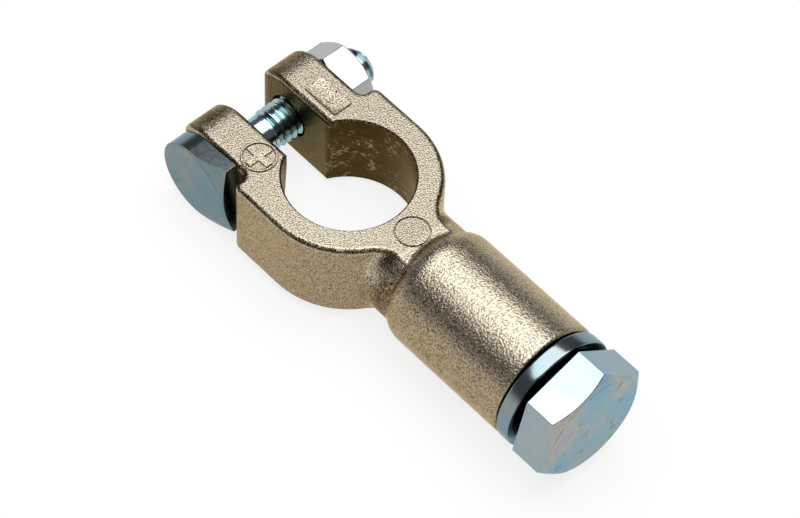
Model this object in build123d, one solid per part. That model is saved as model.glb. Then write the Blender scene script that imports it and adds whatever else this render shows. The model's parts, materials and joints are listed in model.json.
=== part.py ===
from build123d import *
from build123d.topology.shape_core import SkipClean
import os
from math import radians, tan

# Battery terminal clamp, millimetres, +Z up.
# The origin is on the post bore's axis, in the plane of the clamp's top face.
# +X runs from the bore to the cable bolt, +Y from the pinch bolt's head to its nut.

# clamp body, one casting: ring and shoulders
body_height = 13.4
post_radius = 8.9            # small end of a tapered positive post
post_taper = 1 / 18          # growth of the radius per millimetre of depth
bore_land = 3.2              # straight part of the bore below the top face
bore_rim_chamfer = 0.25
ring_wall = 3.75
shoulder_length = 8.8        # from the bore's axis back to the step before the ears
shoulder_corner = 1.2
edge_rounding = 0.9          # along the top and bottom outlines

# ears
ear_gap = 7.5
ear_thickness = 6.4
ear_reach = 22.6             # from the bore's axis to the ears' tips
ear_tip_length = 2.4         # of the corner arc seen from above, along the ear's side
ear_tip_depth = 2.1          # and across the ear's end, less, so that a faint edge is left
ear_end_rounding = 5.6       # seen from the side
ear_root_corner = 1.0

# round gate mark on the top face
gate_mark_radius = 2.5
gate_mark_offset = 12.3
gate_groove_width = 0.3
gate_groove_depth = 0.2

# neck and cable boss
neck_step = 1.0              # from the boss's radius down to the neck's
neck_blend = 1.8
dome_start = 14.8            # where the boss's domed back begins
dome_drop = 0.5              # of the dome's flat back below the ring's top face
dome_blend = 0.8
boss_shoulder = 18.5         # where the dome reaches the full radius
boss_margin = 0.05           # of the spring washer's edge over the boss
boss_end = 37.6              # from the bore's axis
boss_rim_rounding = 0.7
boss_hole_depth = 21.0
drill_point_angle = 118.0

# pinch bolt, M6, with a head that is square towards the shoulder and round away from it
pinch_thread = 6.0
pinch_reach = 16.25          # from the bore's axis to the pinch bolt's axis
pinch_rise = 0.2             # of the pinch bolt's axis over the mid plane
pinch_shank = 5.35           # the reduced diameter next to the head
pinch_shank_length = 9.6
pinch_head_radius = 6.1
pinch_head_height = 3.0
pinch_head_face = 5.65       # radius of the flat inside the chamfer
pinch_head_chamfer = 24.0    # degrees
pinch_head_turn = 6.0        # degrees that the square side leans
pinch_protrusion = 2.4       # of the tip beyond the nut
pinch_hole_clearance = 0.3   # radial, in the ears

# pinch nut
nut_flats = 10.0
nut_height = 4.75
nut_turn = 38.5              # degrees from +X to the nearest corner

# cable bolt, M10
cable_thread = 10.0
cable_shank_length = 20.0
cable_head_flats = 16.0
cable_head_height = 5.9
cable_head_turn = 17.7       # degrees from +Y to the nearest corner
washer_face_height = 0.4
washer_face_step = 0.6       # from the head's flats in to the washer face

# spring washer, one left-hand turn of a rectangular section, partly flattened
washer_inner_radius = 5.2
washer_overhang = 0.75       # past the flats of the cable bolt's head
washer_thickness = 2.2
washer_rise = 0.8            # of a full turn
washer_split = 12.0          # degrees left open between the ends
washer_low_end = 225.0       # degrees from +Y to the end that lies on the boss

# shared by the fasteners
thread_clearance = 0.05      # radial, between a screw and its tapped hole
corner_chamfer = 30.0        # degrees, on the corners of hexagons
face_share = 0.95            # a hexagon's round flat, as a share of its width
tip_chamfer = 0.8
thread_mouth = 0.5           # countersink of a tapped hole

tolerance = 0.001            # for picking edges by place

# worked out from the above
ring_radius = post_radius + ring_wall
mid_height = -body_height / 2
bore_mouth_radius = post_radius + (body_height - bore_land - bore_rim_chamfer) * post_taper
ear_inner = ear_gap / 2
ear_outer = ear_inner + ear_thickness
pinch_height = mid_height + pinch_rise
pinch_thread_radius = pinch_thread / 2 - thread_clearance
pinch_hole_radius = pinch_thread / 2 + pinch_hole_clearance
pinch_length = 2 * ear_outer + nut_height + pinch_protrusion
cable_thread_radius = cable_thread / 2 - thread_clearance
washer_face_radius = cable_head_flats / 2 - washer_face_step
washer_outer_radius = cable_head_flats / 2 + washer_overhang
boss_radius = washer_outer_radius - boss_margin
neck_radius = boss_radius - neck_step
dome_start_radius = body_height / 2 - dome_drop
washer_turn = 360 - washer_split
washer_height = washer_thickness + washer_rise * washer_turn / 360
cable_seat = boss_end + washer_height
neck_end = (dome_start + boss_shoulder) / 2

towards_nut = Plane(origin=(-pinch_reach, ear_outer, pinch_height), x_dir=(1, 0, 0), z_dir=(0, 1, 0))
towards_head = Plane(origin=(-pinch_reach, -ear_outer, pinch_height), x_dir=(1, 0, 0), z_dir=(0, -1, 0))
boss_face = Plane(origin=(boss_end, 0, mid_height), x_dir=(0, 1, 0), z_dir=(1, 0, 0))


def turned(plane, points):
    """Solid turned about a plane's normal, from (radius, distance along the normal) points."""
    side = Plane(origin=plane.origin, x_dir=plane.x_dir, z_dir=plane.x_dir.cross(plane.z_dir))
    outline = side * make_face(Polyline(*points, close=True))
    return revolve(outline, Axis(plane.origin, plane.z_dir), 360)


def under_cone(plane, face_radius, height, angle):
    """Space under a cone that chamfers a head of the given height down from its flat."""
    fall = height * 2
    spread = fall / tan(radians(angle))
    return turned(plane, [(0, height), (face_radius, height), (face_radius + spread, height - fall),
                          (0, height - fall)])


def upright_corner(solid, x, y):
    """The upright edge nearest to a place in plan."""
    return solid.edges().filter_by(Axis.Z).sort_by_distance(Vertex(x, y, mid_height))[0]


def level_edges(solid, height, reach):
    """Edges that lie in a level plane, as far as a distance along X."""
    found = []
    for edge in solid.edges():
        box = edge.bounding_box()
        level = abs(box.min.Z - height) < tolerance and abs(box.max.Z - height) < tolerance
        if level and box.min.X < reach:
            found.append(edge)
    return found


def plan_outline():
    """Ring, shoulders and slotted ears from above, before the post bore is cut."""
    slot_bottom = post_radius / 2
    tip_start = -ear_reach + ear_tip_length
    tip_outer, tip_inner = ear_outer - ear_tip_depth, ear_inner + ear_tip_depth
    half = make_face(Curve() + [
        CenterArc((0, 0), ring_radius, 0, 90),
        Line((0, ring_radius), (-shoulder_length, ring_radius)),
        Line((-shoulder_length, ring_radius), (-shoulder_length, ear_outer)),
        Line((-shoulder_length, ear_outer), (tip_start, ear_outer)),
        TangentArc((tip_start, ear_outer), (-ear_reach, tip_outer), tangent=(-1, 0)),
        Line((-ear_reach, tip_outer), (-ear_reach, tip_inner)),
        TangentArc((tip_start, ear_inner), (-ear_reach, tip_inner), tangent=(-1, 0)),
        Line((tip_start, ear_inner), (-slot_bottom, ear_inner)),
        Line((-slot_bottom, ear_inner), (-slot_bottom, 0)),
        Line((-slot_bottom, 0), (ring_radius, 0)),
    ])
    return half + mirror(half, Plane.XZ)


def side_profile():
    """The plate from the side, with the ears' ends rounded at the top and the bottom."""
    length = ear_reach + ring_radius
    middle = (ring_radius - ear_reach) / 2
    plate = Location((middle, 0, mid_height)) * Box(length, 3 * ring_radius, body_height)
    return fillet(plate.edges().filter_by(Axis.Y).group_by(Axis.X)[0], ear_end_rounding)


def ring_and_ears():
    plate = extrude(plan_outline(), -body_height)
    for side in (-1, 1):
        plate = fillet(upright_corner(plate, -shoulder_length, side * ring_radius), shoulder_corner)
        plate = fillet(upright_corner(plate, -shoulder_length, side * ear_outer), ear_root_corner)
    return plate & side_profile()


def neck():
    """Round bar from the ring into the boss, cut level with the ring's faces."""
    bar = extrude(Plane(origin=(0, 0, mid_height), x_dir=(0, 1, 0), z_dir=(1, 0, 0))
                  * Circle(neck_radius), neck_end)
    return bar & Location((0, 0, mid_height)) * Box(2 * neck_end, 4 * neck_radius, body_height)


def boss():
    """Cable boss with its domed back, turned about the cable bolt's axis."""
    outline = make_face(Curve() + [
        Line((dome_start, 0), (dome_start, -dome_start_radius)),
        TangentArc((boss_shoulder, -boss_radius), (dome_start, -dome_start_radius), tangent=(-1, 0)),
        Line((boss_shoulder, -boss_radius), (boss_end, -boss_radius)),
        Line((boss_end, -boss_radius), (boss_end, 0)),
        Line((boss_end, 0), (dome_start, 0)),
    ])
    side = Plane(origin=(0, 0, mid_height), x_dir=(1, 0, 0), z_dir=(0, -1, 0))
    solid = revolve(side * outline, Axis((0, 0, mid_height), (1, 0, 0)), 360)
    rim = solid.edges().filter_by(GeomType.CIRCLE).group_by(Axis.X)[-1]
    return fillet(rim, boss_rim_rounding)


def join_neck(plate):
    """Ring, ears and neck as one plate, blended where the neck leaves the ring."""
    joined = plate + neck()
    saddles = [edge for edge in joined.edges()
               if edge.geom_type == GeomType.BSPLINE and edge.center().X > 0]
    joined = fillet(saddles, neck_blend)
    outline = level_edges(joined, 0, neck_end - tolerance)
    outline += level_edges(joined, -body_height, neck_end - tolerance)
    return fillet(outline, edge_rounding)


def join_boss(plate):
    """Add the boss as an upper and a lower half, unmerged so that the blend can cross its dome."""
    solid = boss()
    above = Location((0, 0, mid_height + boss_end)) * Box(4 * boss_end, 2 * boss_end, 2 * boss_end)
    with SkipClean():
        joined = plate + (solid & above) + (solid - above)
    seam = []
    for edge in joined.edges():
        box = edge.bounding_box()
        curved = box.size.Y > tolerance and edge.geom_type != GeomType.LINE
        if curved and box.min.X > dome_start - edge_rounding and box.max.X < boss_shoulder - tolerance:
            seam.append(edge)
    return fillet(seam, dome_blend)


def post_bore():
    """Tapered bore for the battery post, with a short straight land and broken rims."""
    rim, mouth = post_radius + bore_rim_chamfer, bore_mouth_radius + bore_rim_chamfer
    return turned(Plane.XY, [
        (0, 1), (rim, 1), (rim, 0), (post_radius, -bore_rim_chamfer), (post_radius, -bore_land),
        (bore_mouth_radius, bore_rim_chamfer - body_height), (mouth, -body_height),
        (mouth, -body_height - 1), (0, -body_height - 1)])


def boss_hole():
    """Plain stand-in for the tapped blind hole, with its drill point and countersink."""
    radius = cable_thread / 2
    point = radius / tan(radians(drill_point_angle / 2))
    return turned(boss_face, [
        (0, 1), (radius + thread_mouth, 1), (radius + thread_mouth, 0), (radius, -thread_mouth),
        (radius, -boss_hole_depth), (0, -boss_hole_depth - point)])


def gate_mark():
    """Narrow round groove left by the mould's gate."""
    ring = Circle(gate_mark_radius) - Circle(gate_mark_radius - gate_groove_width)
    return extrude(Location((gate_mark_offset, 0, -gate_groove_depth)) * ring, 2 * gate_groove_depth)


def clamp_body():
    body = join_boss(join_neck(ring_and_ears()))
    pinch_hole = extrude(towards_head * Circle(pinch_hole_radius), -2 * ear_outer)
    with SkipClean():
        return body - post_bore() - boss_hole() - gate_mark() - pinch_hole


def pinch_bolt():
    """Bolt whose square-cornered head side bears on the shoulder and stops it turning."""
    square_side = Location((pinch_head_radius / 2, 0)) * Rectangle(pinch_head_radius, 2 * pinch_head_radius)
    outline = Rot(0, 0, pinch_head_turn) * (Circle(pinch_head_radius) + square_side)
    head = extrude(towards_head * outline, pinch_head_height)
    head = head & under_cone(towards_head, pinch_head_face, pinch_head_height, pinch_head_chamfer)
    step = pinch_thread_radius - pinch_shank / 2
    shank = turned(towards_head, [
        (0, 0), (pinch_shank / 2, 0), (pinch_shank / 2, -pinch_shank_length),
        (pinch_thread_radius, -pinch_shank_length - step), (pinch_thread_radius, tip_chamfer - pinch_length),
        (pinch_thread_radius - tip_chamfer, -pinch_length), (0, -pinch_length)])
    return head + shank


def hexagon(plane, flats, turn, height):
    return extrude(plane * Rot(0, 0, turn) * RegularPolygon(flats / 2, 6, major_radius=False), height)


def pinch_nut():
    """Hexagon nut, chamfered on both sides."""
    flat = face_share * nut_flats / 2
    nut = hexagon(towards_nut, nut_flats, -nut_turn, nut_height)
    nut = nut & under_cone(towards_nut, flat, nut_height, corner_chamfer)
    seat = Plane(origin=towards_nut.origin + towards_nut.z_dir * nut_height, x_dir=(1, 0, 0), z_dir=(0, -1, 0))
    nut = nut & under_cone(seat, flat, nut_height, corner_chamfer)
    bore, mouth = pinch_thread / 2, pinch_thread / 2 + thread_mouth
    return nut - turned(towards_nut, [
        (0, -1), (mouth, -1), (mouth, 0), (bore, thread_mouth), (bore, nut_height - thread_mouth),
        (mouth, nut_height), (mouth, nut_height + 1), (0, nut_height + 1)])


def spring_washer():
    """Split lock washer: a rectangle swept along one open left-hand turn."""
    radius = (washer_inner_radius + washer_outer_radius) / 2
    width = washer_outer_radius - washer_inner_radius
    path = Helix(washer_rise, washer_rise * washer_turn / 360, radius, lefthand=True)
    start = path @ 0
    outline = Plane(origin=start, x_dir=(1, 0, 0), z_dir=(0, -1, 0)) * Rectangle(width, washer_thickness)
    coil = sweep(outline, path, is_frenet=True)
    seat = Plane(origin=(boss_end + washer_thickness / 2, 0, mid_height), x_dir=(0, 1, 0), z_dir=(1, 0, 0))
    return seat * Rot(0, 0, washer_low_end) * coil


def cable_bolt():
    """Hexagon bolt with a washer face, seated on the spring washer's high end."""
    seat = Plane(origin=(cable_seat, 0, mid_height), x_dir=(0, 1, 0), z_dir=(1, 0, 0))
    flat = face_share * cable_head_flats / 2
    head = hexagon(seat, cable_head_flats, cable_head_turn, cable_head_height)
    head = head & under_cone(seat, flat, cable_head_height, corner_chamfer)
    head = head - turned(seat, [
        (washer_face_radius, -1), (2 * cable_head_flats, -1), (2 * cable_head_flats, washer_face_height),
        (washer_face_radius, washer_face_height)])
    shank = turned(seat, [
        (0, 1), (cable_thread_radius, 1), (cable_thread_radius, tip_chamfer - cable_shank_length),
        (cable_thread_radius - tip_chamfer, -cable_shank_length), (0, -cable_shank_length)])
    return head + shank


os.makedirs("parts", exist_ok=True)
for piece in (clamp_body, pinch_bolt, pinch_nut, spring_washer, cable_bolt):
    export_step(piece(), f"parts/{piece.__name__}.step")
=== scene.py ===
import bmesh
import bpy
import json
from contextlib import contextmanager
from math import cos, radians, sin, tau
from mathutils import Matrix, Vector

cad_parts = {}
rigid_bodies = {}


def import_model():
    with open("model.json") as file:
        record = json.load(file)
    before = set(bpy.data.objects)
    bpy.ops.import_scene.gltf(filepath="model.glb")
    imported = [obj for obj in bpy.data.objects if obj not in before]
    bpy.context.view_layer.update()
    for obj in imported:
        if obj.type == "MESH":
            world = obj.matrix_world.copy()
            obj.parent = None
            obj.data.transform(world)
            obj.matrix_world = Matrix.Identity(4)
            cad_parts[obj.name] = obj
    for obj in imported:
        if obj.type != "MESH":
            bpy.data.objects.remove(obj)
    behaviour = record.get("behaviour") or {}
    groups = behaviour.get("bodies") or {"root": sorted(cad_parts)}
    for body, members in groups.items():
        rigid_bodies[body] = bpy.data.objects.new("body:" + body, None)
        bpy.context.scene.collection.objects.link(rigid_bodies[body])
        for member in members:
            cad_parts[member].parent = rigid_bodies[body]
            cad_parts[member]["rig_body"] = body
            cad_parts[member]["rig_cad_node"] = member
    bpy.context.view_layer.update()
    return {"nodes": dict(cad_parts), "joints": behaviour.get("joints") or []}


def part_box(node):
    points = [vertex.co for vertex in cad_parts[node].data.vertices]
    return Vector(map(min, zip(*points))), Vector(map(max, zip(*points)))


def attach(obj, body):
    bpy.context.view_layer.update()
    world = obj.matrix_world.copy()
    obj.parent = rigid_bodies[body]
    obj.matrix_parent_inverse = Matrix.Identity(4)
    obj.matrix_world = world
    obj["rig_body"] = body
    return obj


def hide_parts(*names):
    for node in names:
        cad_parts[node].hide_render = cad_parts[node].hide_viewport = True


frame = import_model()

mm = 0.001
hair = 0.001 * mm  # points nearer than this are one
nodes = frame["nodes"]
pivots = {joint["name"]: Vector(joint["pos_m"]) for joint in frame["joints"] if "pos_m" in joint}
pinchAxis = pivots["nut_turn"]
cableAxis = pivots["end_bolt_turn"]
print("frame loaded:", ", ".join(sorted(nodes)))


cameraView = {
    "azimuth": radians(45.51),
    "elevation": radians(54.62),
    "roll": radians(2.52),
    "distance": 473.1 * mm,
    "target": Vector((7.65, 2.5, -13.35)) * mm,
    "sensor": 36.0,
    "lens": 159.8,
    "near": 10 * mm,
}


def makeCamera(view):
    flat = cos(view["elevation"])
    back = Vector((sin(view["azimuth"]) * flat, -cos(view["azimuth"]) * flat, sin(view["elevation"])))
    right = Vector((0, 0, 1)).cross(back).normalized()
    up = back.cross(right)
    turned = right * cos(view["roll"]) + up * sin(view["roll"])
    upright = up * cos(view["roll"]) - right * sin(view["roll"])
    data = bpy.data.cameras.new("camera")
    data.sensor_width = view["sensor"]
    data.lens = view["lens"]
    data.clip_start = view["near"]
    camera = bpy.data.objects.new("camera", data)
    bpy.context.scene.collection.objects.link(camera)
    camera.matrix_world = Matrix((
        (turned.x, upright.x, back.x, 0), (turned.y, upright.y, back.y, 0),
        (turned.z, upright.z, back.z, 0), (0, 0, 0, 1)))
    camera.location = view["target"] + back * view["distance"]
    bpy.context.scene.camera = camera


makeCamera(cameraView)
print("camera placed")


class Wire:  # a socket in an expression, whose operators add Math nodes
    def __init__(self, finish, socket):
        self.finish, self.socket = finish, socket

    def calc(self, operation, *others):
        return self.finish.add("Math", {"operation": operation}, dict(enumerate((self, *others))))

    def __add__(self, other):
        return self.calc("ADD", other)

    def __mul__(self, other):
        return self.calc("MULTIPLY", other)

    def __sub__(self, other):
        return self.calc("SUBTRACT", other)

    def __rsub__(self, other):
        return (self * -1.0) + other

    def __pow__(self, other):
        return self.calc("POWER", other)

    def __abs__(self):
        return self.calc("ABSOLUTE")

    __radd__, __rmul__ = __add__, __mul__

    def ramp(self, start, end):  # 0 at start and 1 at end, clamped, in either direction
        return self.finish.add("MapRange", {"clamp": True}, {0: self, 1: start, 2: end, 3: 0.0, 4: 1.0})

    def band(self, middle, inner, outer):  # 1 within inner of the middle, 0 beyond outer
        return abs(self - middle).ramp(outer, inner)


class Finish:  # the nodes of one material or of the world
    def __init__(self, owner):
        self.owner = owner
        owner.use_nodes = True
        self.tree = owner.node_tree
        self.tree.nodes.clear()

    def add(self, kind, settings=None, inputs=None, out=0):
        node = self.tree.nodes.new("ShaderNode" + kind)
        for name, value in (settings or {}).items():
            if name == "stops":
                while len(node.color_ramp.elements) < len(value):
                    node.color_ramp.elements.new(0.5)
                for element, (place, colour) in zip(node.color_ramp.elements, value):
                    element.position, element.color = place, (*colour, 1)
            else:
                setattr(node, name, value)
        for key, value in (inputs or {}).items():
            if isinstance(value, Wire):
                self.tree.links.new(value.socket, node.inputs[key])
            else:
                node.inputs[key].default_value = value
        return Wire(self, node.outputs[out]) if node.outputs else None

    def place(self):  # object coordinates in millimetres
        return self.add("Mapping", {}, {0: self.add("TexCoord", out="Object"), 3: (1 / mm,) * 3})

    def facing(self, axis):  # 1 where the surface faces along the axis, either way
        return abs(self.split(self.add("TexCoord", out="Normal"))[axis])

    def split(self, vector):
        node = self.add("SeparateXYZ", {}, {0: vector}).socket.node
        return [Wire(self, socket) for socket in node.outputs]

    def join(self, x, y, z):
        return self.add("CombineXYZ", {}, {0: x, 1: y, 2: z})

    def noise(self, where, size, detail, rough, distortion=0.0):  # size in millimetres
        return self.add("TexNoise", {}, {
            "Vector": where, "Scale": 1 / size, "Detail": detail, "Roughness": rough,
            "Distortion": distortion})

    def ramped(self, value, *stops):  # a colour from a value
        return self.add("ValToRGB", {"stops": stops}, {0: value})

    def mix(self, factor, one, other):  # colours
        one, other = (c if isinstance(c, Wire) else (*c, 1) for c in (one, other))
        return self.add("Mix", {"data_type": "RGBA"}, {0: factor, 6: one, 7: other}, out=2)

    def scaled(self, colour, factor):
        return self.add("VectorMath", {"operation": "SCALE"}, {0: colour, "Scale": factor})

    def recess(self, reach):  # 0 in the open, towards 1 in corners and gaps
        return 1 - self.add("AmbientOcclusion", {"samples": 8}, {"Distance": reach * mm}, out="AO")

    def shadedInRecesses(self, colour, look):  # painted shade: darker in corners and gaps, by ambient occlusion
        reach, share, less = look["recessShade"]
        return self.mix((self.recess(reach) * share - less).ramp(0.0, 1.0), colour, look["deep"])

    def bump(self, height, distance):  # distance in millimetres
        return self.add("Bump", {}, {"Distance": distance * mm, "Height": height})

    def shade(self, **sockets):
        named = {name.replace("_", " "): value for name, value in sockets.items()}
        self.output(self.add("BsdfPrincipled", {}, named))
        return self.owner

    def output(self, surface, kind="OutputMaterial"):
        self.add(kind, {}, {"Surface": surface})


castLook = {
    "level": (0.48, 0.428, 0.332),     # cast skin that faces up or down
    # painted shade: walls darker and browner than the level faces
    "wall": (0.42, 0.325, 0.205),
    "levelFrom": (0.35, 0.95),         # tilt over which the one turns into the other
    "wallFrom": (0.5, 0.3),
    "glancing": (1.0, 0.88, 0.68, 1),  # tint of what is seen at a low angle
    "rough": 0.19,
    "patinaAndShadeRough": 0.1,                # more where the patina and painted shade lie
    "ringEnd": (14.6, 13.6),           # along X from the bore's axis

    "grain": (0.21, 2.0, 0.6),         # size, detail, roughness and distortion of a noise
    "bossGrain": (0.26, 2.0, 0.6),
    "mottle": (0.7, 4.0, 0.75),
    "cloud": (5.0, 3.0, 0.6),
    "relief": 0.09,
    "pitFrom": (0.54, 0.41),           # grain at which a pit starts and where it is full
    "pitShade": 0.48,
    "pitShadeRing": 0.06,              # more on the ring
    "pitShadeWall": 0.12,              # and on walls

    "paintedHighlight": (0.62, 0.55, 0.42),      # painted highlight: bright line below the rounded edges
    "paintedHighlightBand": (0.42, 0.06, 0.20),  # tilt in its middle, and how far it is full and reaches
    "paintedHighlightShare": 0.8,

    # patina, with painted shade and painted dark reflection mixed in
    "patinaAndShade": (0.07, 0.042, 0.018),
    "edgeBand": (0.80, 0.12, 0.20),    # by tilt, painted dark reflection on the rounded edges of the ring
    "tip": (-14.0, -22.5),             # darker towards the ends of the ears
    "tipShare": 0.32,
    "tipShareWall": 0.4,
    "neckBand": (14.6, 0.9, 3.2),      # along X, painted shade in the crevice between ring and boss
    "neckTilt": (0.92, 0.5),
    "patinaAndShadeShares": (1.1, 1.6, 1.3, 2.4),  # of these places, the mottle, the cloud and the grain
    "patinaAndShadeLess": 0.492,

    # painted shade on the slot's walls, darker and browner
    "slotShadeBrown": (0.07, 0.042, 0.009),
    "slotSide": (4.5, 4.2),            # across Y
    "slotEnd": (-7.0, -8.0),           # along X
    "slotShadeShare": 0.7,
    "slotShadeMottle": 0.5,
    "boltShadow": (7.0, 3.4),          # round the pinch bolt, on the slot's walls
    "boltShadowShare": 0.75,

    # colour of the painted shade in gaps and of the bolt's painted shadow
    "deep": (0.015, 0.010, 0.006),
    "recessShade": (1.4, 1.5, 0.25),          # reach, share and how much less of the painted shade in gaps
}

machinedLook = {
    "olive": (0.055, 0.029, 0.002),    # of the bore
    "worn": (0.62, 0.53, 0.30),
    "boreLine": (9.55, 9.53),
    "boreTilt": (0.5, 0.4),
    "turning": (1.0, 3.0, 0.6),
    "turningStretch": (2.0, 5.0),      # round the bore and along it
    "turningShare": 0.22,
    "scuffs": (1.6, 6.0, 0.75, 1.5),
    "scuffStretch": (9.0, 1.3),
    "scuffFrom": (0.54, 0.68),
    "scuffPlaces": (0.44, 0.54),       # of the cloud
    "scuffShare": 0.75,
    "wornFrom": (0.1, 0.9),
    "boreRough": 0.18,
    "scuffSmooth": 0.06,
    "boreRelief": 0.46,
    "turningRelief": 0.05,
    "scuffRelief": 0.03,

    "seam": (cableAxis.z / mm, 0.03, 0.13),  # the mould's parting line on the ring's wall
    "seamTilt": (0.3, 0.1),
    "seamShade": 0.45,
    "seamRelief": 0.3,

    "gate": 12.3,                      # the gate mark's place along X
    "gateRim": (2.5, 2.1),
    "gateTilt": (0.9, 0.95),
    "gateShade": 0.12,
}


class CastFinish(Finish):  # with where things are on the casting, for all the parts of its finish
    def __init__(self, name, look):
        super().__init__(bpy.data.materials.new(name))
        self.look = look
        self.where = self.place()
        self.x, self.y, self.z = self.split(self.where)
        self.tilt = self.facing(2)  # 1 on level faces, 0 on walls
        self.onRing = self.x.ramp(*look["ringEnd"])
        self.onWall = self.tilt.ramp(*look["wallFrom"])
        self.cloud = self.noise(self.where, *look["cloud"])
        self.mottle = self.noise(self.where, *look["mottle"])

    def skinGrain(self):  # finer on the ring than on the boss
        fine = self.noise(self.where, *self.look["grain"])
        coarse = self.noise(self.where, *self.look["bossGrain"])
        return fine + (coarse - fine) * (1 - self.onRing)

    def patinaAndShade(self, grain):  # patina with painted light mixed in: a painted dark reflection on rounded edges, darker ends of the ears, painted shade round the neck
        look = self.look
        edge = self.tilt.band(*look["edgeBand"]) * self.onRing
        tip = self.x.ramp(*look["tip"]) * (look["tipShare"] + self.onWall * look["tipShareWall"])
        neck = self.x.band(*look["neckBand"]) * self.tilt.ramp(*look["neckTilt"])
        places = edge.calc("MAXIMUM", tip).calc("MAXIMUM", neck)
        ofPlaces, ofMottle, ofCloud, ofGrain = look["patinaAndShadeShares"]
        amount = places * ofPlaces + self.mottle * ofMottle + self.cloud * ofCloud - grain * ofGrain
        return (amount - look["patinaAndShadeLess"]).ramp(0.0, 1.0)

    def skinColour(self, patinaAndShade):
        look = self.look
        # painted shade: walls darker and browner than level faces
        colour = self.mix(self.tilt.ramp(*look["levelFrom"]), look["wall"], look["level"])
        # painted highlight: a bright line below the ring's rounded edges
        paintedHighlight = self.tilt.band(*look["paintedHighlightBand"]) * self.onRing
        colour = self.mix(paintedHighlight * look["paintedHighlightShare"], colour, look["paintedHighlight"])
        # painted shade on the slot's walls
        slot = abs(self.y).ramp(*look["slotSide"]) * self.x.ramp(*look["slotEnd"]) * self.onWall
        slotShade = slot * (look["slotShadeShare"] + self.mottle * look["slotShadeMottle"])
        colour = self.mix(slotShade.ramp(0.0, 1.0), colour, look["slotShadeBrown"])
        fromBolt = ((self.x - pinchAxis.x / mm) ** 2.0 + (self.z - pinchAxis.z / mm) ** 2.0) ** 0.5
        shadow = slot * fromBolt.ramp(*look["boltShadow"])
        colour = self.mix(shadow * look["boltShadowShare"], colour, look["deep"])
        # patina mixed with painted shade and painted dark reflection
        return self.mix(patinaAndShade, colour, look["patinaAndShade"])

    def marks(self, around, stretch, grain):  # drawn out round the bore
        return self.noise(self.join(around * stretch[0], self.z * stretch[1], 0.0), *grain)

    def machine(self, look, colour, rough, grain):  # turning marks and light scuffs in the bore
        radius = (self.x * self.x + self.y * self.y) ** 0.5
        inside = radius.ramp(*look["boreLine"]) * self.tilt.ramp(*look["boreTilt"])
        around = self.y.calc("ARCTAN2", self.x)
        turning = self.marks(around, look["turningStretch"], look["turning"])
        scuffs = self.marks(around, look["scuffStretch"], look["scuffs"]).ramp(*look["scuffFrom"])
        scuffs = scuffs * self.cloud.ramp(*look["scuffPlaces"])
        worn = (turning * look["turningShare"] + scuffs * look["scuffShare"]).ramp(*look["wornFrom"])
        colour = self.mix(inside, colour, self.mix(worn, look["olive"], look["worn"]))
        rough = rough + inside * (look["boreRough"] - scuffs * look["scuffSmooth"])
        relief = look["boreRelief"] + turning * look["turningRelief"] + scuffs * look["scuffRelief"]
        return inside, colour, rough, grain + (relief - grain) * inside

    def mould(self, look, inside, colour, grain):  # the parting line, and the gate mark's disc
        seam = self.z.band(*look["seam"]) * self.tilt.ramp(*look["seamTilt"]) * self.onRing * (1 - inside)
        fromGate = ((self.x - look["gate"]) ** 2.0 + self.y * self.y) ** 0.5
        disc = fromGate.ramp(*look["gateRim"]) * self.tilt.ramp(*look["gateTilt"])
        shade = 1 - seam * look["seamShade"] - disc * look["gateShade"]
        return self.scaled(colour, shade), grain + seam * look["seamRelief"]


def castFinish(name, look, machined=None):
    f = CastFinish(name, look)
    grain = f.skinGrain()
    patinaAndShade = f.patinaAndShade(grain)
    colour = f.skinColour(patinaAndShade)
    rough = look["rough"] + patinaAndShade * look["patinaAndShadeRough"]
    if machined:
        inside, colour, rough, grain = f.machine(machined, colour, rough, grain)
        colour, grain = f.mould(machined, inside, colour, grain)
    shade = f.onRing * look["pitShadeRing"] + f.onWall * look["pitShadeWall"] + look["pitShade"]
    colour = f.scaled(colour, 1 - grain.ramp(*look["pitFrom"]) * shade)
    return f.shade(
        Base_Color=f.shadedInRecesses(colour, look), Specular_Tint=look["glancing"], Metallic=1.0,
        Roughness=rough, Normal=f.bump(grain, look["relief"]))


zincLook = {
    "blue": (0.21, 0.32, 0.45),
    "teal": (0.24, 0.36, 0.36),
    "steel": (0.29, 0.34, 0.37),
    "straw": (0.38, 0.38, 0.29),
    "rose": (0.38, 0.30, 0.37),
    "film": {"blue": 0.38, "teal": 0.47, "steel": 0.54, "straw": 0.61, "rose": 0.69},
    "cloud": (7.0, 3.0, 0.5, 0.6),  # size, detail, roughness and distortion of a noise
    "cloudShare": 0.65,
    "rings": (1.6, 2.0, 0.5),
    "ringsSwirl": 2.0,              # of the rings by the cloud
    "flank": (0.29, 0.36, 0.40),    # on the sides of a head
    "flankFrom": (0.8, 0.4),        # how far a face looks along the axis
    "flankShare": 0.7,
    "stains": (2.4, 6.0, 0.75),     # on the ends of a head
    "stainFrom": (0.57, 0.68),
    "stainShade": 0.6,
    "wear": (0.9, 4.0, 0.65),
    "wearShade": (0.93, 0.14),      # at least, and more by the wear
    "wearRough": 0.1,
    "wearRelief": 0.6,
    "brushed": (1.0, 2.0, 0.5),
    "brushedStretch": 5.0,
    "brushedRelief": 0.4,
    "relief": 0.01,
    "rodSide": (0.05, 0.0),         # radius of a shank in a tone of its own
    "rodStart": (0.0, 0.1),         # and where it starts along the axis
    "rodTone": 1.0,
    "tone": 1.0,
    "rough": 0.13,
    "glancing": (0.72, 0.84, 0.92, 1),
    # colour of the painted shade in gaps
    "deep": (0.008, 0.010, 0.013),
    "recessShade": (1.2, 1.3, 0.25),
}


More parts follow.
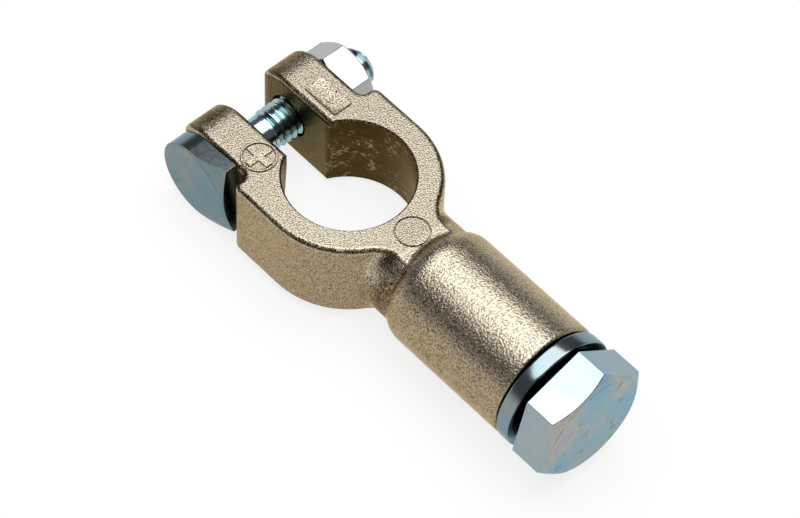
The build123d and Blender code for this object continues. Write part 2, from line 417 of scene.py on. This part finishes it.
def zincFinish(name, look, along, centre):  # along is the number of the piece's own axis
    f = Finish(bpy.data.materials.new(name))
    where = f.place()
    parts = f.split(where)
    offsets = [parts[i] - centre[i] / mm for i in range(3) if i != along]
    radius = (offsets[0] * offsets[0] + offsets[1] * offsets[1]) ** 0.5
    cloud = f.noise(where, *look["cloud"])
    rings = f.noise(f.join(radius, cloud * look["ringsSwirl"], 0.0), *look["rings"])
    film = cloud * look["cloudShare"] + rings * (1 - look["cloudShare"])
    colour = f.ramped(film, *((place, look[tint]) for tint, place in look["film"].items()))
    onEnd = f.facing(along)
    colour = f.mix(onEnd.ramp(*look["flankFrom"]) * look["flankShare"], colour, look["flank"])
    stain = f.noise(where, *look["stains"]).ramp(*look["stainFrom"])
    stain = stain * onEnd.ramp(*reversed(look["flankFrom"])) * look["stainShade"]
    wear = f.noise(where, *look["wear"])
    rod = radius.ramp(*look["rodSide"]) * parts[along].ramp(*look["rodStart"])
    tone = (rod * (look["rodTone"] - 1) + 1) * look["tone"]
    least, more = look["wearShade"]
    colour = f.scaled(colour, tone * (least + wear * more) * (1 - stain))
    brushed = f.noise(f.join(radius * look["brushedStretch"], 0.0, 0.0), *look["brushed"])
    height = wear * look["wearRelief"] + brushed * look["brushedRelief"]
    return f.shade(
        Base_Color=f.shadedInRecesses(colour, look), Specular_Tint=look["glancing"], Metallic=1.0,
        Roughness=look["rough"] + wear * look["wearRough"], Normal=f.bump(height, look["relief"]))


markLook = {
    **castLook,
    "level": (0.55, 0.49, 0.38),
    "grain": (0.2, 2.0, 0.6),
    "tip": (-14.0, -30.0),
}

washerLook = {
    **zincLook,
    # painted shade: the whole washer darker
    "tone": 0.75,
    "rough": 0.12,
    "recessShade": (1.2, 2.4, 0.25),
}

pinchLook = {
    **zincLook,
    "blue": (0.24, 0.33, 0.36),
    "tone": 0.62,
    "rodSide": (3.15, 3.1),
    "rodStart": (-6.0, -5.9),
    "rodTone": 2.2,
    "recessShade": (1.2, 0.4, 0.25),
}

nutLook = {
    **zincLook,
    "blue": (0.42, 0.42, 0.43),
    "teal": (0.41, 0.42, 0.42),
    "steel": (0.43, 0.43, 0.43),
    "straw": (0.43, 0.43, 0.42),
    "rose": (0.43, 0.42, 0.43),
    "flank": (0.43, 0.43, 0.43),
    "stainShade": 0.0,
    "tone": 0.86,
    "glancing": (1, 1, 1, 1),
}

castMaterial = castFinish("castPlatedBrass", castLook, machinedLook)
markMaterial = castFinish("castRaisedMarks", markLook)
endZinc = zincFinish("zincEndBolt", zincLook, 0, cableAxis)
washerZinc = zincFinish("zincWasher", washerLook, 0, cableAxis)
pinchZinc = zincFinish("zincPinchBolt", pinchLook, 1, pinchAxis)
nutZinc = zincFinish("zincNut", nutLook, 1, pinchAxis)
print("finishes mixed")


def deselectAll():
    bpy.ops.object.select_all(action="DESELECT")


def takeUp(piece):  # makes one object the only one selected, and active
    deselectAll()
    piece.select_set(True)
    bpy.context.view_layer.objects.active = piece


def applyModifier(piece, kind, **settings):
    takeUp(piece)
    modifier = piece.modifiers.new(kind, kind)
    for name, value in settings.items():
        setattr(modifier, name, value)
    bpy.ops.object.modifier_apply(modifier=modifier.name)


def seatPiece(piece):  # its place, turn and size go into its mesh
    takeUp(piece)
    bpy.ops.object.transform_apply(location=True, rotation=True, scale=True)


def dress(piece, name, material, angle=30.0):
    piece.name = piece.data.name = name
    piece.data.materials.clear()
    piece.data.materials.append(material)
    takeUp(piece)
    bpy.ops.object.shade_smooth_by_angle(angle=radians(angle))
    applyModifier(piece, "WEIGHTED_NORMAL", keep_sharp=True, weight=100)


@contextmanager
def editing(piece, wanted=None):  # edit mode with all selected, or only vertices at wanted places
    takeUp(piece)
    bpy.ops.object.mode_set(mode="EDIT")
    bpy.ops.mesh.select_all(action="SELECT")
    if wanted:
        mesh = bmesh.from_edit_mesh(piece.data)
        for vertex in mesh.verts:
            vertex.select = wanted(vertex.co)
        mesh.select_flush_mode()
    yield
    bpy.ops.object.mode_set(mode="OBJECT")


copyRules = {
    "merge": 0.002 * mm,
    "flat": radians(0.5),
}


def copyNode(node, rules=copyRules):  # an own copy of a solid, its loose triangles merged
    piece = nodes[node].copy()
    piece.data = nodes[node].data.copy()
    piece.parent = None
    bpy.context.scene.collection.objects.link(piece)
    for key in ("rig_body", "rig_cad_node"):  # the copy isn't a CAD solid any more
        if key in piece:
            del piece[key]
    with editing(piece):
        bpy.ops.mesh.remove_doubles(threshold=rules["merge"])
        bpy.ops.mesh.customdata_custom_splitnormals_clear()
        bpy.ops.mesh.dissolve_limited(angle_limit=rules["flat"])
    return piece


def cutAway(piece, point, normal):  # cuts off what lies beyond a plane and closes the cut
    with editing(piece):
        bpy.ops.mesh.bisect(
            plane_co=point, plane_no=normal, use_fill=True, clear_outer=True, threshold=hair)


def joinPieces(piece, other):
    takeUp(piece)
    other.select_set(True)
    bpy.ops.object.join()


threadForm = {
    "outline": ((0, 0), (0, 0.15), (1, 0.46), (1, 0.58), (0, 0.9), (0, 1)),  # height and place in pitch
    "under": 2,     # turns below the start, to be cut off
    "spare": 5,     # turns more than the length takes, those included
    "runOut": 1.2,  # turns over which the thread grows from the shank
}


def threadedRod(thread, form=threadForm):  # along +Z from the origin, with a chamfered tip
    pitch, root, crest, shank = (thread[name] for name in ("pitch", "root", "crest", "shank"))
    turns = int(thread["length"] / pitch) + form["spare"]
    bpy.ops.mesh.primitive_plane_add(size=pitch, location=(0, 0, 0))
    rod = bpy.context.object
    with editing(rod):
        bpy.ops.mesh.merge(type="CENTER")
        bpy.ops.transform.translate(value=(root, 0, -form["under"] * pitch))
        for (h0, t0), (h1, t1) in zip(form["outline"], form["outline"][1:]):
            step = ((h1 - h0) * (crest - root), 0, (t1 - t0) * pitch)
            bpy.ops.mesh.extrude_vertices_move(TRANSFORM_OT_translate={"value": step})
    applyModifier(
        rod, "SCREW", axis="Z", angle=tau, screw_offset=pitch, iterations=turns,
        steps=thread["steps"], render_steps=thread["steps"], use_merge_vertices=True,
        merge_threshold=hair, use_normal_calculate=True)
    cutAway(rod, (0, 0, 0), (0, 0, -1))
    cutAway(rod, (0, 0, thread["length"]), (0, 0, 1))
    for vertex in rod.data.vertices:
        x, y, z = vertex.co
        radius = Vector((x, y)).length
        grown = min(z / (form["runOut"] * pitch), 1)
        least, most = (shank + (end - shank) * grown for end in (root, crest))
        most = min(most, crest - thread["tip"] + thread["length"] - z)
        wanted = min(max(radius, least), most)
        vertex.co.x, vertex.co.y = x * wanted / radius, y * wanted / radius
    with editing(rod):
        bpy.ops.mesh.normals_make_consistent(inside=False)
    return rod


def standRod(rod, point, direction):
    rod.rotation_mode = "QUATERNION"
    rod.rotation_quaternion = Vector((0, 0, 1)).rotation_difference(Vector(direction))
    rod.location = point
    seatPiece(rod)


def easeEdges(piece, width, angle=35.0):
    applyModifier(
        piece, "BEVEL", width=width, segments=2, limit_method="ANGLE", angle_limit=radians(angle))


pinchSizes = {
    "threadStart": -0.7 * mm,  # along Y
    "pitch": 1.0 * mm,
    "root": 2.42 * mm,
    "crest": 2.95 * mm,
    "shank": 2.675 * mm,       # radius where the thread starts
    "tip": 0.75 * mm,          # chamfer of the end
    "steps": 40,
    "edge": 0.16 * mm,
}


def pinchBolt(sizes):
    piece = copyNode("pinch_bolt")
    start = sizes["threadStart"]
    cutAway(piece, (0, start, 0), (0, 1, 0))
    easeEdges(piece, sizes["edge"])
    rod = threadedRod({**sizes, "length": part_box("pinch_bolt")[1].y - start})
    standRod(rod, (pinchAxis.x, start, pinchAxis.z), (0, 1, 0))
    joinPieces(piece, rod)
    dress(piece, "pinchBolt", pinchZinc)
    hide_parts("pinch_bolt")
    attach(piece, "bolt")


pinchBolt(pinchSizes)
print("pinch bolt threaded")


nutSizes = {
    "edge": 0.12 * mm,
}

washerSizes = {
    "edge": 0.38 * mm,
}


def easedCopy(node, name, material, body, sizes):
    piece = copyNode(node)
    easeEdges(piece, sizes["edge"])
    dress(piece, name, material)
    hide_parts(node)
    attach(piece, body)


easedCopy("pinch_nut", "pinchNut", nutZinc, "nut", nutSizes)
easedCopy("spring_washer", "springWasher", washerZinc, "washer", washerSizes)
print("nut and washer eased")


cableSizes = {
    "stub": 0.15 * mm,       # kept of the solid's shank, under the head
    "rodStart": 0.075 * mm,  # under the head, inside the stub
    "pitch": 1.5 * mm,
    "root": 4.15 * mm,
    "crest": 4.95 * mm,
    "shank": 4.3 * mm,
    "tip": 1.0 * mm,
    "steps": 56,
    "edge": 0.2 * mm,
}


def cableBolt(sizes):
    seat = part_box("spring_washer")[1].x
    piece = copyNode("cable_bolt")
    cutAway(piece, (seat - sizes["stub"], 0, 0), (-1, 0, 0))
    easeEdges(piece, sizes["edge"])
    start = seat - sizes["rodStart"]
    rod = threadedRod({**sizes, "length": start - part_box("cable_bolt")[0].x})
    standRod(rod, (start, 0, cableAxis.z), (-1, 0, 0))
    joinPieces(piece, rod)
    dress(piece, "cableBolt", endZinc)
    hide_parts("cable_bolt")
    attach(piece, "end_bolt")


cableBolt(cableSizes)
print("cable bolt threaded")


nodes["clamp_body"].data.materials.clear()
nodes["clamp_body"].data.materials.append(castMaterial)
print("casting dressed")


polarityMark = {
    "centre": Vector((-9.93, -6.93, 0)) * mm,  # on the top of the ear at -Y
    "radius": 2.5 * mm,
    "sides": 64,
    "band": 0.3 * mm,
    "armLength": 4.0 * mm,
    "armWidth": 0.95 * mm,
    "rise": 0.22 * mm,
    "edge": 0.06 * mm,
}


def raisedMark(piece, name, edge):
    easeEdges(piece, edge, 40.0)
    dress(piece, name, markMaterial, 50.0)
    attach(piece, "casting")


def plusInRing(mark):
    deselectAll()
    bpy.ops.mesh.primitive_circle_add(
        vertices=mark["sides"], radius=mark["radius"], location=mark["centre"])
    ring = bpy.context.object
    with editing(ring):
        bpy.ops.mesh.extrude_edges_move()
        bpy.ops.transform.resize(value=(1 - mark["band"] / mark["radius"],) * 2 + (1,))
    deselectAll()
    bpy.ops.mesh.primitive_plane_add(size=mark["armWidth"], location=mark["centre"])
    plus = bpy.context.object
    reach = (mark["armLength"] - mark["armWidth"]) / 2
    for side in (Vector(way) for way in ((1, 0, 0), (-1, 0, 0), (0, 1, 0), (0, -1, 0))):
        middle = side * mark["armWidth"] / 2
        with editing(plus, lambda place: (place - middle).length < mark["armWidth"]):
            bpy.ops.mesh.extrude_edges_move(TRANSFORM_OT_translate={"value": side * reach})
    for piece, name in ((ring, "polarityRing"), (plus, "polarityPlus")):
        seatPiece(piece)
        applyModifier(piece, "SOLIDIFY", thickness=2 * mark["rise"], offset=0)
        raisedMark(piece, name, mark["edge"])


barePlate = {
    "centre": Vector((-11.42, 6.6, 0)) * mm,  # on the top of the ear at +Y
    "length": 5.9 * mm,
    "width": 3.1 * mm,
    "rim": 0.45 * mm,
    "rise": 0.26 * mm,
    "sink": 0.2 * mm,
    "edge": 0.05 * mm,
}


def blankPlate(plate):
    deselectAll()
    bpy.ops.mesh.primitive_cube_add(size=1, location=plate["centre"])
    pad = bpy.context.object
    pad.scale = (plate["length"], plate["width"], 2 * plate["rise"])
    seatPiece(pad)
    with editing(pad, lambda place: place.z > 0):
        bpy.ops.mesh.inset(thickness=plate["rim"])
        bpy.ops.transform.translate(value=(0, 0, -plate["sink"]))
    raisedMark(pad, "blankPlate", plate["edge"])


plusInRing(polarityMark)
blankPlate(barePlate)
print("casting marked")


floorSizes = {
    "span": 6.0,
    "earEdge": Vector((-17.0, 0, -13.4)) * mm,  # the ears rest on the floor here
    "bossEdge": 18.6 * mm,                      # and the boss here along X
    "gap": 0.05 * mm,
    "paper": (0.93, 0.93, 0.93, 1),
    "glow": 0.82,                               # share of plain white that the eye and metal see
}


def seenDirectly(f):  # 1 for the camera, and for what metal and glass show of the background
    rays = f.add("LightPath").socket.node.outputs
    camera, glossy, clear = (
        Wire(f, rays[name]) for name in ("Is Camera Ray", "Is Glossy Ray", "Is Transmission Ray"))
    return camera.calc("MAXIMUM", glossy).calc("MAXIMUM", clear)


def makeFloor(sizes):
    ear = sizes["earEdge"]
    boss = Vector((sizes["bossEdge"], 0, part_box("clamp_body")[0].z))
    slope = (boss - ear).normalized()
    deselectAll()
    bpy.ops.mesh.primitive_plane_add(size=sizes["span"])
    floor = bpy.context.object
    floor.name = "floor"
    floor.rotation_mode = "QUATERNION"
    floor.rotation_quaternion = Vector((1, 0, 0)).rotation_difference(slope)
    floor.location = ear - Vector((0, 0, sizes["gap"]))
    f = Finish(bpy.data.materials.new("palePaper"))
    paper = f.add("BsdfDiffuse", {}, {"Color": sizes["paper"]})
    white = f.add("Emission", {}, {"Color": (1, 1, 1, 1)})
    f.output(f.add("MixShader", {}, {0: seenDirectly(f) * sizes["glow"], 1: paper, 2: white}))
    floor.data.materials.append(f.owner)


overheadLamp = {
    "name": "overhead",
    "place": Vector((-0.02, 0.06, 0.6)),
    "size": (0.72, 0.78),
    "power": 5.6,
}


def softLamp(settings):  # turned towards the part
    data = bpy.data.lights.new(settings["name"], "AREA")
    data.shape = "RECTANGLE"
    data.size, data.size_y = settings["size"]
    data.energy = settings["power"]
    lamp = bpy.data.objects.new(settings["name"], data)
    lamp.location = settings["place"]
    lamp.rotation_mode = "QUATERNION"
    lamp.rotation_quaternion = (-settings["place"]).to_track_quat("-Z", "Y")
    bpy.context.scene.collection.objects.link(lamp)


studioLook = {
    "ambient": 0.2,               # strength of the light from all sides
    "ceiling": 0.13,              # and of what bright metal shows overhead
    "ceilingFrom": (0.02, 0.28),  # height of a direction at which it starts and is full
}


def makeWorld(look):  # white to the eye down to the horizon, with a dim ceiling round the lamp
    world = bpy.data.worlds.new("studio")
    bpy.context.scene.world = world
    f = Finish(world)
    height = f.split(f.add("TexCoord", out="Generated"))[2]
    lit, dim, white = (
        f.add("Background", {}, {"Color": (1, 1, 1, 1), "Strength": strength})
        for strength in (look["ambient"], look["ceiling"], 1.0))
    shown = f.add("MixShader", {}, {0: height.ramp(*look["ceilingFrom"]), 1: white, 2: dim})
    f.output(f.add("MixShader", {}, {0: seenDirectly(f), 1: lit, 2: shown}), "OutputWorld")


makeFloor(floorSizes)
makeWorld(studioLook)
softLamp(overheadLamp)
bpy.context.scene.view_settings.view_transform = "Standard"
print("floor and lamp set")
